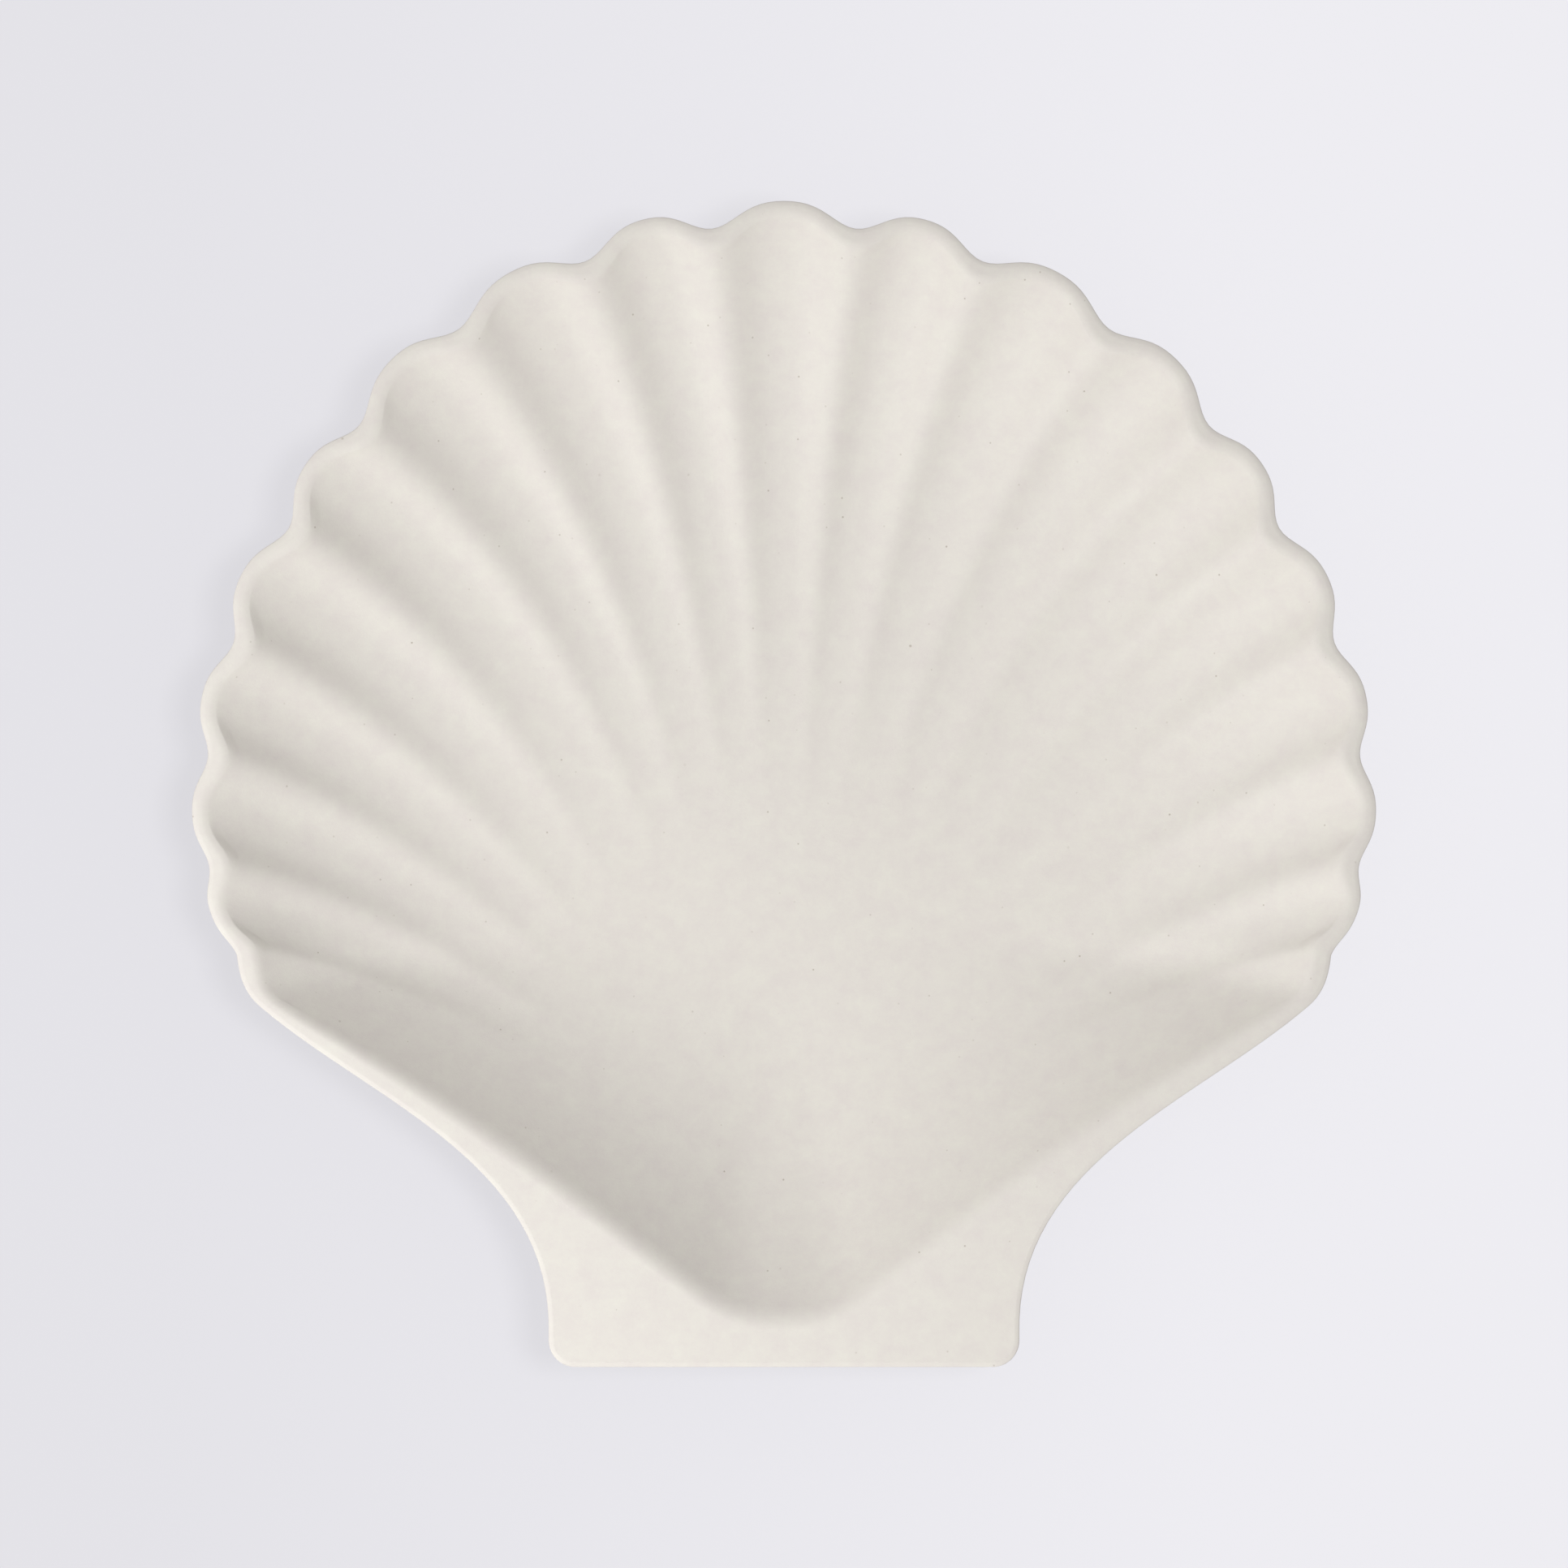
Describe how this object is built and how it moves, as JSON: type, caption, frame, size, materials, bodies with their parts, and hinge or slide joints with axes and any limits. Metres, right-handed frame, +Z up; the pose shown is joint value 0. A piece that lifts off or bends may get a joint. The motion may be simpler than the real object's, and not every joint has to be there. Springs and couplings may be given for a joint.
{
  "type": "serving platter",
  "caption": "Shell shaped stoneware platter: a fluted fan bowl with a scalloped level rim, a flat tab at the hinge side and a low round foot ring.",
  "frame": {"origin": "under the middle of the plan, on the plane that the foot ring stands on", "axes": "+Z up, +Y from the tab to the middle lobe, +X to the right seen from above"},
  "size_m": [0.2998, 0.2962, 0.0364],
  "materials": {
    "stoneware": "matt warm off-white"
  },
  "bodies": {
    "root": {"shell_platter": "stoneware"}
  },
  "joints": []
}
